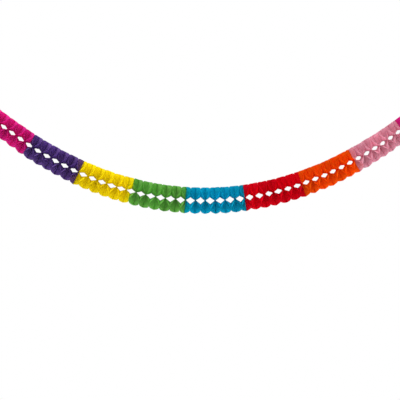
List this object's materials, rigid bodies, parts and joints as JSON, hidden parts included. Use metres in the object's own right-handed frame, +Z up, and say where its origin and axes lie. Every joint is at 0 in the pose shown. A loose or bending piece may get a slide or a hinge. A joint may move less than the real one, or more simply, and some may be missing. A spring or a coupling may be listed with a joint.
{
  "type": "paper garland",
  "caption": "Tissue paper garland in runs of bright colour: honeycomb cells of glued rounded-square leaves, hung as one swag between two end cards with hanging holes.",
  "frame": {"origin": "middle of the hanging hole in the left end card", "axes": "+X along the garland to its right end, -Y towards its front, +Z up"},
  "size_m": [2.6453, 0.144, 0.6984],
  "materials": {
    "tissue_magenta": "matt dyed tissue paper",
    "tissue_purple": "matt dyed tissue paper",
    "tissue_yellow": "matt dyed tissue paper",
    "tissue_green": "matt dyed tissue paper",
    "tissue_blue": "matt dyed tissue paper",
    "tissue_red": "matt dyed tissue paper",
    "tissue_orange": "matt dyed tissue paper",
    "tissue_pink": "matt dyed tissue paper",
    "card": "matt dyed card"
  },
  "bodies": {
    "root": {"left_end_card": "card", "left_magenta_leaves": "tissue_magenta", "purple_leaves": "tissue_purple", "yellow_leaves": "tissue_yellow", "green_leaves": "tissue_green", "blue_leaves": "tissue_blue", "red_leaves": "tissue_red", "orange_leaves": "tissue_orange", "pink_leaves": "tissue_pink", "right_magenta_leaves": "tissue_magenta", "right_end_card": "card"}
  },
  "joints": []
}
